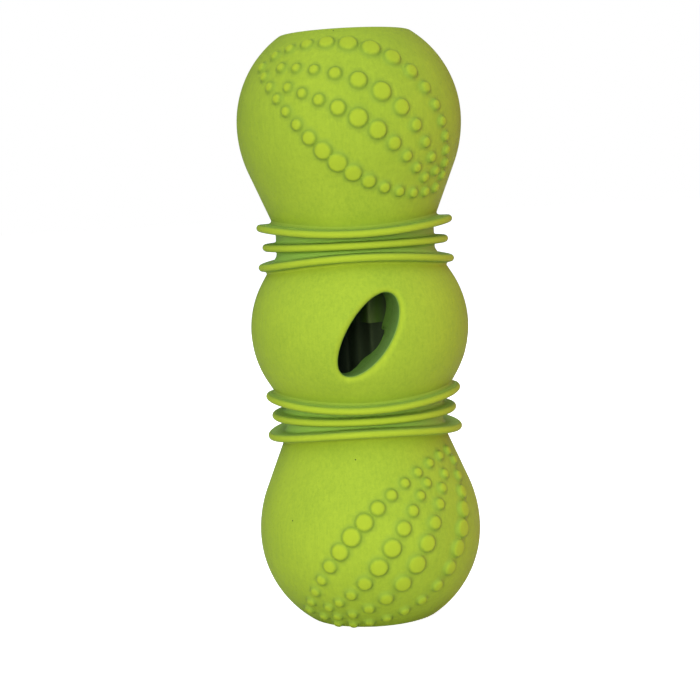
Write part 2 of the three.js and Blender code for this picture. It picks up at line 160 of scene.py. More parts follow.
@dataclass(frozen=True)
class BodyOutline:
    """The turned outline of the body, with heights measured from its middle plane."""

    middle_radius: float = 30.85 * MM
    middle_arc_radius: float = 27.2 * MM
    middle_flank: float = 31.4
    middle_fillet: float = 2.0 * MM
    neck_radius: float = 22.4 * MM
    neck_to_middle: float = 2.4 * MM
    neck_to_end: float = 5.1 * MM
    end_radius: float = 31.5 * MM
    shoulder_radius: float = 34.0 * MM
    crown_radius: float = 29.5 * MM
    end_flank: float = 22.4
    end_fillet: float = 6.0 * MM
    face_radius: float = 18.2 * MM
    face_edge_round: float = 1.6 * MM
    end_wall: float = 8.5 * MM
    mouth_radius: float = 10.5 * MM
    mouth_lip: float = 1.5 * MM
    bore_radius: float = 19.6 * MM
    clearance: float = 0.3 * MM
    front_azimuth: float = -9.0
    arc_steps: int = 40
    round_steps: int = 6

    @property
    def middle_foot(self) -> float:
        """Height at which the barrel's flank meets the neck."""
        turn = math.radians(self.middle_flank)
        top_radius = self.middle_radius - self.middle_arc_radius * (1 - math.cos(turn))
        return self.middle_arc_radius * math.sin(turn) + (top_radius - self.neck_radius) / math.tan(turn)

    @property
    def neck_centre(self) -> float:
        """Height of the middle ring of a neck."""
        return self.middle_foot + self.neck_to_middle

    @property
    def end_foot(self) -> float:
        """Height at which the end bulb's flank meets the neck."""
        return self.neck_centre + self.neck_to_end

    @property
    def shoulder_centre(self) -> float:
        """Radius of the shoulder arc's centre."""
        return self.end_radius - self.shoulder_radius

    @property
    def crown_centre(self) -> float:
        """Radius of the crown arc's centre."""
        return self.end_radius - self.crown_radius

    @property
    def shoulder_foot_radius(self) -> float:
        """Radius at which the shoulder arc meets the flank."""
        return self.shoulder_centre + self.shoulder_radius * math.cos(math.radians(self.end_flank))

    @property
    def shoulder_drop(self) -> float:
        """Height of the widest line above the foot of the shoulder arc."""
        return self.shoulder_radius * math.sin(math.radians(self.end_flank))

    @property
    def equator(self) -> float:
        """Height of the end bulb's widest line."""
        widening = self.shoulder_foot_radius - self.neck_radius
        return self.end_foot + widening / math.tan(math.radians(self.end_flank)) + self.shoulder_drop

    @property
    def half_length(self) -> float:
        """Height of the flat end."""
        reach = self.face_radius - self.crown_centre
        return self.equator + math.sqrt(self.crown_radius ** 2 - reach ** 2)

    @property
    def face_round_centre(self) -> tuple[float, float]:
        """Radius and height of the centre of the flat end's edge rounding."""
        rise = self.half_length - self.face_edge_round - self.equator
        reach = math.sqrt((self.crown_radius - self.face_edge_round) ** 2 - rise ** 2)
        return self.crown_centre + reach, self.equator + rise

    @property
    def crown_end(self) -> float:
        """Angle on the crown arc, in radians, at which the edge rounding starts."""
        radius, height = self.face_round_centre
        return math.atan2(height - self.equator, radius - self.crown_centre)

    @property
    def front(self) -> float:
        """Azimuth in radians of the line on which the rings come closest."""
        return math.radians(self.front_azimuth)

    def barrel(self) -> np.ndarray:
        """Outline of the barrel and its fillet, from the middle plane to the neck.

        Returns:
            One row of radius and height for each point.
        """
        turn = math.radians(self.middle_flank)
        tangent = self.middle_fillet * math.tan(turn / 2)
        centre = (self.neck_radius + self.middle_fillet, self.middle_foot + tangent)
        return np.vstack((
            arc((self.middle_radius - self.middle_arc_radius, 0), self.middle_arc_radius, 0, turn,
                self.arc_steps),
            arc(centre, self.middle_fillet, math.pi + turn, math.pi, self.round_steps),
        ))

    def end_fillet_arc(self) -> np.ndarray:
        """Outline of the fillet between a neck and its end bulb.

        Returns:
            One row of radius and height for each point, from the neck outwards.
        """
        turn = math.radians(self.end_flank)
        tangent = self.end_fillet * math.tan(turn / 2)
        centre = (self.neck_radius + self.end_fillet, self.end_foot - tangent)
        return arc(centre, self.end_fillet, math.pi, math.pi - turn, self.round_steps)

    @cached_property
    def profile(self) -> np.ndarray:
        """Outline from the middle plane to the edge rounding of the flat end."""
        turn = math.radians(self.end_flank)
        return np.vstack((
            self.barrel(),
            self.end_fillet_arc(),
            arc((self.shoulder_centre, self.equator), self.shoulder_radius, -turn, 0, self.arc_steps),
            arc((self.crown_centre, self.equator), self.crown_radius, 0, self.crown_end,
                self.arc_steps)[1:],
        ))

    def radius_at(self, height: np.ndarray) -> np.ndarray:
        """The body's radius at heights on either side of the middle plane.

        Args:
            height: Heights from the middle plane.

        Returns:
            The radius at each height.
        """
        return np.interp(np.abs(height), self.profile[:, 1], self.profile[:, 0])

    def end_reach(self, latitude: np.ndarray) -> tuple[np.ndarray, np.ndarray]:
        """The end bulb's surface along rays from its centre.

        Args:
            latitude: Angles in radians above the widest line, positive towards the flat end.

        Returns:
            The distance along each ray and the surface's rise there in radians.
        """
        slope = math.radians(self.end_flank)
        foot = math.atan2(-self.shoulder_drop, self.shoulder_foot_radius)
        level = self.shoulder_foot_radius + self.shoulder_drop * math.tan(slope)
        flank = level / (np.cos(latitude) - np.sin(latitude) * math.tan(slope))
        centre = np.where(latitude < 0, self.shoulder_centre, self.crown_centre)
        radius = np.where(latitude < 0, self.shoulder_radius, self.crown_radius)
        curved = centre * np.cos(latitude) + np.sqrt(radius ** 2 - (centre * np.sin(latitude)) ** 2)
        on_flank = latitude < foot
        sine = np.clip(curved * np.sin(latitude) / radius, -1, 1)
        return np.where(on_flank, flank, curved), np.where(on_flank, -slope, np.arcsin(sine))

    def place(self, points: np.ndarray, end: End = End.UPPER) -> np.ndarray:
        """Moves points from heights above the middle plane to where the toy stands.

        Args:
            points: Rows of x, y and height above the middle plane.
            end: The end that the heights point towards.

        Returns:
            The points in the frame's own place.
        """
        return np.column_stack((points[:, 0], points[:, 1], self.half_length + end.value * points[:, 2]))


def smooth(mesh: bpy.types.Mesh) -> None:
    """Shades a mesh smoothly across all but its sharp edges."""
    mesh.shade_smooth()
    mesh.set_sharp_from_angle(angle=SHARP_ANGLE)


@dataclass
class Skin:
    """A mesh in the making: points, faces and each point's painted light depth."""

    points: list[np.ndarray] = field(default_factory=list)
    crease: list[np.ndarray] = field(default_factory=list)
    faces: list[tuple[int, ...]] = field(default_factory=list)
    count: int = 0

    def add(self, points: np.ndarray, crease: Numbers = BARE_DEPTH) -> np.ndarray:
        """Adds points.

        Args:
            points: Rows of x, y and z.
            crease: Painted light depth of the points: painted shade above 0, a painted highlight below 0.

        Returns:
            The numbers of the new points.
        """
        self.points.append(points)
        self.crease.append(np.broadcast_to(np.asarray(crease, dtype=float), (len(points),)))
        numbers = np.arange(self.count, self.count + len(points))
        self.count += len(points)
        return numbers

    def patch(self, points: np.ndarray, faces: np.ndarray, crease: np.ndarray) -> None:
        """Adds points with the triangles between them.

        Args:
            points: Rows of x, y and z.
            faces: Rows of three point numbers, counted from the first of these points.
            crease: Painted light depth of the points: painted shade above 0, a painted highlight below 0.
        """
        numbers = self.add(points, crease)
        self.faces.extend(map(tuple, numbers[faces].tolist()))

    def band(self, first: np.ndarray, second: np.ndarray) -> None:
        """Joins two closed rows of points by a band of four-sided faces.

        Args:
            first: Numbers of the points of one row.
            second: Numbers of the points of the other row, as many.
        """
        following, beyond = np.roll(first, -1), np.roll(second, -1)
        self.faces.extend(zip(first.tolist(), following.tolist(), beyond.tolist(), second.tolist()))

    def rows(
        self, rows: list[np.ndarray], crease: list[Numbers] | None = None, closed: bool = False
    ) -> None:
        """Joins closed rows of points in order.

        Args:
            rows: The rows, with equal numbers of points.
            crease: Painted light depth of each row, or None for none.
            closed: Whether the last row is joined to the first.
        """
        depths = [BARE_DEPTH] * len(rows) if crease is None else crease
        numbers = [self.add(row, depth) for row, depth in zip(rows, depths)]
        for first, second in zip(numbers, numbers[1:]):
            self.band(first, second)
        if closed:
            self.band(numbers[-1], numbers[0])

    def piece(self, name: str) -> bpy.types.Object:
        """Makes the object: welded, facing outwards and smooth.

        Args:
            name: The piece's name.

        Returns:
            The new object, linked to the scene.
        """
        mesh = bpy.data.meshes.new(name)
        mesh.from_pydata(np.vstack(self.points).tolist(), [], self.faces)
        layer = mesh.attributes.new(PAINTED_LIGHT_LAYER, "FLOAT", "POINT")
        layer.data.foreach_set("value", np.concatenate(self.crease).astype(np.float32))
        work = bmesh.new()
        work.from_mesh(mesh)
        bmesh.ops.remove_doubles(work, verts=work.verts[:], dist=WELD_DISTANCE)
        bmesh.ops.recalc_face_normals(work, faces=work.faces[:])
        work.to_mesh(mesh)
        work.free()
        smooth(mesh)
        piece = bpy.data.objects.new(name, mesh)
        bpy.context.scene.collection.objects.link(piece)
        return piece


@dataclass(frozen=True)
class ConformalMap:
    """A turned surface laid flat without shear, so that round things stay round."""

    marks: np.ndarray
    spread: np.ndarray

    @classmethod
    def of(cls, marks: np.ndarray, radius: np.ndarray, height: np.ndarray) -> "ConformalMap":
        """Lays out a turned outline.

        Args:
            marks: What tells the outline's points apart, in rising order.
            radius: The outline's radius at each mark.
            height: The outline's height at each mark.

        Returns:
            The map between marks and flat places.
        """
        length = np.hypot(np.diff(radius), np.diff(height))
        mean = (radius[1:] + radius[:-1]) / 2
        return cls(marks, np.concatenate(([0.0], np.cumsum(length / mean))))

    def flat(self, marks: np.ndarray) -> np.ndarray:
        """Flat places of marks."""
        return np.interp(marks, self.marks, self.spread)

    def mark(self, flat: np.ndarray) -> np.ndarray:
        """Marks of flat places."""
        return np.interp(flat, self.spread, self.marks)

    def rows(self, step: float) -> np.ndarray:
        """Marks of evenly spaced rows about a step apart on the flat."""
        count = round(self.spread[-1] / step)
        return self.mark(np.linspace(0, self.spread[-1], count + 1))


def triangulate(flat: np.ndarray, edges: list[tuple[int, int]]) -> tuple[np.ndarray, np.ndarray]:
    """Joins flat points by well-shaped triangles.

    Args:
        flat: Rows of two flat coordinates.
        edges: Pairs of point numbers that have to be joined.

    Returns:
        The number of the given point behind each corner point, and the triangles.
    """
    points = [Vector(row) for row in flat.tolist()]
    _, _, faces, sources, _, _ = delaunay_2d_cdt(points, edges, [], CONVEX_HULL, FLAT_TOLERANCE)
    return np.array([source[0] for source in sources]), np.array(faces)


@dataclass(frozen=True)
class Bend:
    """How a line bends off the straight way between two tips: how far, how evenly and how skewed."""

    bow: float
    power: float
    skew: float

    def at(self, step: np.ndarray) -> np.ndarray:
        """The bend in radians at steps from 0 to 1 along the line."""
        return math.radians(self.bow) * np.clip(np.sin(math.pi * step ** self.skew), 0, 1) ** self.power


@dataclass(frozen=True)
class StudRow:
    """One row of a leaf: its share of the leaf's width, its bend and its studs.

    The studs stand from first to last, as shares of the row's length. Spread moves them apart half
    way, a lead below 1 moves them on, and growth is how fast they shrink away from the largest one.
    """

    side: float
    power: float
    skew: float
    largest: float
    growth: float
    count: int
    first: float
    last: float
    spread: float = 0.0
    lead: float = 1.0

    def places(self) -> np.ndarray:
        """The studs' places along the row, as shares of its length."""
        step = np.linspace(0, 1, self.count) ** self.lead
        step -= self.spread * np.sin(FULL_TURN * step) / FULL_TURN
        return self.first + (self.last - self.first) * step

    def swell(self, place: np.ndarray) -> np.ndarray:
        """How far studs at places along the row have grown, from 0 to 1 at the largest one."""
        halving = math.log(2) / -math.log(self.largest)
        return np.sin(math.pi * place ** halving) ** self.growth


@dataclass(frozen=True)
class StudLeaf:
    """A leaf of studs between two tips, each given by azimuth from the front and latitude."""

    start: tuple[float, float]
    end: tuple[float, float]
    outer_bow: float
    inner: Bend
    rows: tuple[StudRow, ...]

    def bends(self, row: StudRow) -> tuple[Bend, Bend]:
        """The bends that make up a row's line."""
        return self.inner, Bend((self.outer_bow - self.inner.bow) * row.side, row.power, row.skew)


@dataclass(frozen=True)
class Stud:
    """One moulded stud on the bulb's surface."""

    centre: np.ndarray
    normal: np.ndarray
    radius: float


@dataclass(frozen=True)
class StudShape:
    """The form of every stud: a low button with a soft shoulder, painted shade round its foot and a painted
    highlight on its top.
    """

    height: float = 1.1 * MM
    dome: float = 0.08 * MM
    shoulder: float = 0.7 * MM
    shoulder_share: float = 0.5
    skirt: float = 0.55 * MM
    roundness: float = 1.25
    top_circles: tuple[float, ...] = (0.4, 0.75)
    flank_circles: tuple[float, ...] = (0.0, 0.16, 0.32, 0.46, 0.6, 0.72, 0.84, 1.0)
    # Painted shade rings the foot of each stud, and the next field sets the painted highlight on its top.
    shade_start: float = 0.32
    shade_full: float = 0.64
    shade_end: float = 1.5
    painted_highlight: float = 0.7
    point_spacing: float = 0.6 * MM
    fewest_points: int = 18

    def flat(self, radius: Numbers) -> Numbers:
        """How far the flat top of a stud reaches from its middle."""
        return radius - np.minimum(self.shoulder, self.shoulder_share * radius)

    def circles(self, radius: float) -> list[float]:
        """Radii of the circles of points that shape a stud, from its middle outwards."""
        flat = float(self.flat(radius))
        width = radius + self.skirt - flat
        top = [flat * part for part in self.top_circles]
        return top + [flat + width * part for part in self.flank_circles]

    def around(self, radius: float) -> int:
        """How many points each circle has."""
        return max(self.fewest_points, round(FULL_TURN * radius / self.point_spacing))

    def form(self, distance: np.ndarray, radius: np.ndarray) -> tuple[np.ndarray, np.ndarray]:
        """Lift and painted light depth at distances from the middles of studs.

        Args:
            distance: Distances from the studs' middles.
            radius: The studs' radii at their feet.

        Returns:
            The lifts, and the painted light depths: painted shade round the foot, and a negative depth for
                the painted highlight on the tops.
        """
        flat = self.flat(radius)
        part = (distance - flat) / (radius + self.skirt - flat)
        flank = np.cos(QUARTER_TURN * np.clip(part, 0, 1) ** self.roundness) ** 2
        dome = self.dome * (1 - np.clip(distance / flat, 0, 1) ** 2)
        lift = (self.height - self.dome) * flank + dome
        crease = np.interp(
            part,
            (0.0, self.shade_start, self.shade_full, self.shade_end),
            (-self.painted_highlight, BARE_DEPTH, CREASE_DEPTH, BARE_DEPTH),
        )
        return lift, crease


LEAVES: dict[End, StudLeaf] = {
    End.UPPER: StudLeaf(
        start=(-58.1, 28.9), end=(61.5, -35.0), outer_bow=44.3, inner=Bend(-16.1, 0.845, 1.256),
        rows=(
            StudRow(side=1.0, power=0.636, skew=1.127, largest=0.385, growth=6.0, count=16,
                    first=0.004, last=0.965, spread=0.235, lead=0.906),
            StudRow(side=0.671, power=0.988, skew=1.158, largest=0.51, growth=7.0, count=11,
                    first=0.12, last=0.917, spread=0.155),
            StudRow(side=0.395, power=1.291, skew=1.218, largest=0.53, growth=8.0, count=10,
                    first=0.201, last=0.878, spread=0.111),
            StudRow(side=0.0, power=0.845, skew=1.256, largest=0.515, growth=8.0, count=15,
                    first=0.06, last=0.975, spread=0.031),
        ),
    ),
    End.LOWER: StudLeaf(
        start=(-54.2, 42.1), end=(67.0, -42.3), outer_bow=37.4, inner=Bend(-17.1, 0.989, 0.943),
        rows=(
            StudRow(side=1.0, power=0.806, skew=1.003, largest=0.708, growth=3.2, count=14,
                    first=0.112, last=0.961, spread=0.115),
            StudRow(side=0.651, power=1.232, skew=0.851, largest=0.516, growth=5.0, count=12,
                    first=0.078, last=0.871, spread=0.162),
            StudRow(side=0.364, power=1.577, skew=0.79, largest=0.462, growth=8.0, count=10,
                    first=0.147, last=0.776, spread=0.181),
            StudRow(side=0.0, power=0.989, skew=0.943, largest=0.448, growth=8.0, count=15,
                    first=0.04, last=0.977),
        ),
    ),
}


@dataclass(frozen=True)
class NeckWave:
    """How the rings of a neck lie: closest at the front and back, furthest apart at the sides."""

    outline: BodyOutline
    side_spacing: float = 5.6 * MM
    front_spacing: float = 3.2 * MM
    ring_half: float = 1.1 * MM
    shade_fade: float = 2.2 * MM
    # Painted shade on a bulb above a ring, and painted light, negative, on a bulb below one.
    over_shade: float = 0.4
    under_shade: float = -0.6

    def spacing(self, azimuth: np.ndarray) -> np.ndarray:
        """Distance from the middle ring to the next one at azimuths in radians."""
        closing = np.cos(azimuth - self.outline.front) ** 2
        return self.side_spacing + (self.front_spacing - self.side_spacing) * closing

    def shade(self, points: np.ndarray, under: np.ndarray | bool) -> np.ndarray:
        """Painted light depth of points of the body near the rings: painted shade in the neck between them.

        Args:
            points: Rows of points, with heights from the middle plane.
            under: Which points lie below the neck once the toy stands up.

        Returns:
            A painted light depth for each point, 1 between the rings.
        """
        off_centre = np.abs(np.abs(points[:, 2]) - self.outline.neck_centre)
        away = off_centre - self.spacing(azimuth_of(points)) - self.ring_half
        return np.where(away > -self.ring_half, self.beside(away, under), CREASE_DEPTH)

    def beside(self, away: np.ndarray, under: np.ndarray | bool) -> np.ndarray:
        """Painted light depths on a bulb next to a ring: painted shade above the ring and painted light
        below it.

        Args:
            away: Distances from the ring's side.
            under: Whether the bulb lies below the ring once the toy stands up.

        Returns:
            A depth for each distance, which fades to 0.
        """
        full = np.where(under, self.under_shade, self.over_shade)
        return full * ease(1 - away / self.shade_fade)


@dataclass
class RubberPart(ABC):
    """One part of the toy, which builds its own piece and dresses it to stand for a CAD node."""

    rubber: ClassVar[Slot] = Slot.GREEN
    outline: BodyOutline

    @property
    @abstractmethod
    def node(self) -> str:
        """The CAD node that the part stands for."""

    @abstractmethod
    def build(self) -> bpy.types.Object:
        """Builds the part's piece as one closed mesh."""

    def dress(self, piece: bpy.types.Object, finishes: dict[Slot, bpy.types.Material]) -> None:
        """Gives the built piece its finish and its place in the frame.

        Args:
            piece: The built piece.
            finishes: The material of each of the record's slots.
        """
        node, slot = self.node, self.rubber
        piece.data.materials.clear()
        piece.data.materials.append(finishes[slot])
        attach(piece, "root")
        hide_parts(node)


@dataclass
class EndBulb(RubberPart):
    """An end bulb: a turned body with a studded skin, a flat end and a mouth."""

    wave: NeckWave
    end: End
    shape: StudShape = StudShape()
    smallest_stud: float = 2.6 * MM
    largest_stud: float = 5.1 * MM
    field_count: int = 2
    columns: int = 180
    seam_azimuth: float = 87.5
    outline_samples: int = 900
    row_samples: int = 400
    shared_gap: float = 0.04 * MM
    free_gap: float = 0.95 * MM
    # Share of the painted shade round the stud feet.
    stud_foot_shade: float = 0.5
    neck_steps: int = 16

    @property
    def node(self) -> str:
        """The CAD node that the bulb stands for."""
        return f"{self.end.word}_bulb"

    @property
    def seam(self) -> float:
        """Azimuth in radians of the line along which the skin is cut open to lay it flat."""
        return math.radians(self.seam_azimuth)

    def direction(self, tip: tuple[float, float], turn: float) -> np.ndarray:
        """The ray from the bulb's centre towards a tip of a leaf.

        Args:
            tip: Azimuth from the front, and latitude.
            turn: How far the leaf's field is turned round the toy, in radians.

        Returns:
            A unit vector.
        """
        azimuth, latitude = math.radians(tip[0]) + self.outline.front + turn, math.radians(tip[1])
        return around(math.cos(latitude), azimuth, math.sin(latitude))[0]

    def surface(self, azimuth: np.ndarray, latitude: np.ndarray) -> tuple[np.ndarray, np.ndarray]:
        """Points of the bulb's bare surface and their normals.

        Args:
            azimuth: Angles in radians from the front.
            latitude: Angles in radians above the widest line.

        Returns:
            Rows of points, with heights above the middle plane, and rows of normals.
        """
        reach, rise = self.outline.end_reach(latitude)
        height = self.outline.equator + reach * np.sin(latitude)
        points = around(reach * np.cos(latitude), azimuth, height)
        return points, around(np.cos(rise), azimuth, np.sin(rise))

    def angles(self, points: np.ndarray) -> tuple[np.ndarray, np.ndarray]:
        """Azimuth and latitude in radians of points near the surface.

        Args:
            points: Rows of points, with heights above the middle plane.

        Returns:
            The azimuths, counted from the seam, and the latitudes.
        """
        rise = points[:, 2] - self.outline.equator
        latitude = np.arctan2(rise, np.hypot(points[:, 0], points[:, 1]))
        return (azimuth_of(points) - self.seam) % FULL_TURN + self.seam, latitude

    def row_studs(self, row: StudRow, turn: float) -> list[Stud]:
        """The studs of one row of a leaf.

        Args:
            row: The row.
            turn: How far the leaf's field is turned round the toy, in radians.

        Returns:
            The studs in order along the row.
        """
        leaf = LEAVES[self.end]
        start, end = self.direction(leaf.start, turn), self.direction(leaf.end, turn)
        span = math.acos(float(np.clip(start @ end, -1, 1)))
        across = np.cross(start, end) / np.linalg.norm(np.cross(start, end))
        along = np.cross(across, start)
        step = np.linspace(0, 1, self.row_samples)[:, None]
        bow = sum(bend.at(step) for bend in leaf.bends(row))
        straight = start * np.cos(span * step) + along * np.sin(span * step)
        rays = straight * np.cos(bow) + across * np.sin(bow)
        line, _ = self.surface(*self.angles(rays + (0, 0, self.outline.equator)))
        length = np.concatenate(([0.0], np.cumsum(np.linalg.norm(np.diff(line, axis=0), axis=1))))
        places = row.places()
        spots = np.column_stack([np.interp(places * length[-1], length, axis) for axis in line.T])
        centres, normals = self.surface(*self.angles(spots))
        diameters = self.smallest_stud + (self.largest_stud - self.smallest_stud) * row.swell(places)
        return [Stud(*parts) for parts in zip(centres, normals, diameters / 2)]

    @cached_property
    def studs(self) -> list[Stud]:
        """All studs of the bulb."""
        rows = LEAVES[self.end].rows
        lines = [self.row_studs(row, turn) for turn in turns(self.field_count) for row in rows]
        return [stud for line in lines for stud in line]

    @cached_property
    def feet(self) -> np.ndarray:
        """The radii of all studs at their feet."""
        return np.array([stud.radius for stud in self.studs])

    def distances(self, points: np.ndarray) -> np.ndarray:
        """Distances of each point from the middles of all studs."""
        return np.linalg.norm(points[:, None, :] - np.array([stud.centre for stud in self.studs]), axis=2)

    def stud_points(self, stud: Stud) -> np.ndarray:
        """The circles of points that shape one stud, close to the bare surface.

        Args:
            stud: The stud.

        Returns:
            Rows of points, with heights above the middle plane.
        """
        sideways = np.cross((0.0, 0.0, 1.0), stud.normal)
        sideways /= np.linalg.norm(sideways)
        upwards = np.cross(stud.normal, sideways)
        count = self.shape.around(stud.radius)
        rows = [stud.centre[None, :]]
        for number, distance in enumerate(self.shape.circles(stud.radius)):
            turn = (np.arange(count) + number % 2 / 2) * FULL_TURN / count
            spokes = np.outer(np.cos(turn), sideways) + np.outer(np.sin(turn), upwards)
            rows.append(stud.centre + distance * spokes)
        return np.vstack(rows)

    def skin_places(self, latitudes: np.ndarray) -> list[np.ndarray]:
        """Where the skin has points: even rows on the bare surface and circles on the studs.

        Args:
            latitudes: Latitudes of the even rows, in radians.

        Returns:
            The points' azimuths and latitudes in radians.
        """
        azimuths = self.seam + np.linspace(0, FULL_TURN, self.columns + 1)
        azimuth, latitude = (part.ravel() for part in np.meshgrid(azimuths, latitudes))
        bare, _ = self.surface(azimuth, latitude)
        free = (self.distances(bare) - self.feet).min(axis=1) > self.free_gap
        parts = [(azimuth[free], latitude[free])]
        for number, stud in enumerate(self.studs):
            points = self.stud_points(stud)
            gaps = self.distances(points) - self.feet
            others = np.delete(gaps, number, axis=1).min(axis=1)
            parts.append(self.angles(points[gaps[:, number] < others - self.shared_gap]))
        return [np.concatenate(part) for part in zip(*parts)]

    def add_studded_skin(self, skin: Skin, limits: tuple[float, float]) -> None:
        """Adds the part of the outer surface that carries the studs.

        Args:
            skin: The mesh in the making.
            limits: Lowest and highest latitude of the part, in radians.
        """
        marks = np.linspace(*limits, self.outline_samples)
        reach, _ = self.outline.end_reach(marks)
        flat_map = ConformalMap.of(marks, reach * np.cos(marks), reach * np.sin(marks))
        azimuth, latitude = self.skin_places(flat_map.rows(FULL_TURN / self.columns))
        sources, faces = triangulate(np.column_stack((azimuth, flat_map.flat(latitude))), [])
        points, normals = self.surface(azimuth[sources], latitude[sources])
        distances = self.distances(points)
        lifts, creases = self.shape.form(distances, self.feet)
        crease = creases[np.arange(len(points)), (distances - self.feet).argmin(axis=1)]
        # Painted shade round the stud feet and in the neck, and painted highlights on the stud tops.
        neck = self.wave.shade(points, self.end is End.LOWER)
        foot = np.maximum(crease * self.stud_foot_shade, neck)
        depth = np.select([crease > BARE_DEPTH, crease < BARE_DEPTH], [foot, crease], neck)
        raised = points + normals * lifts.max(axis=1)[:, None]
        skin.patch(self.outline.place(raised, self.end), faces, depth)

    def build(self) -> bpy.types.Object:
        """Builds the bulb as one closed mesh.

        Returns:
            The new piece.
        """
        outline = self.outline
        skin = Skin()
        fillet = outline.end_fillet_arc()
        lowest, highest = (
            math.atan2(height - outline.equator, radius)
            for radius, height in (fillet[-1], outline.profile[-1])
        )
        self.add_studded_skin(skin, (lowest, highest))
        joint = outline.neck_centre + outline.clearance / 2
        top, ceiling = outline.half_length, outline.half_length - outline.end_wall
        lip = outline.mouth_lip
        path = np.vstack((
            fillet[:0:-1],
            np.linspace(fillet[0], (outline.neck_radius, joint), self.neck_steps + 1),
            [(outline.bore_radius, joint), (outline.bore_radius, ceiling), (outline.mouth_radius, ceiling)],
            arc((outline.mouth_radius + lip, top - lip), lip, math.pi, QUARTER_TURN, outline.round_steps),
            arc(outline.face_round_centre, outline.face_edge_round, QUARTER_TURN, outline.crown_end,
                outline.round_steps),
        ))
        azimuths = self.seam + turns(self.columns)
        rows = [around(radius, azimuths, height) for radius, height in path]
        # Painted shade in the neck between the rings; beside them, painted shade on the upper bulb and
        # painted light on the lower one.
        shades = [self.wave.shade(row, self.end is End.LOWER) for row in rows]
        skin.rows([outline.place(row, self.end) for row in rows], shades)
        return skin.piece(f"{self.end.word}_studded_bulb")


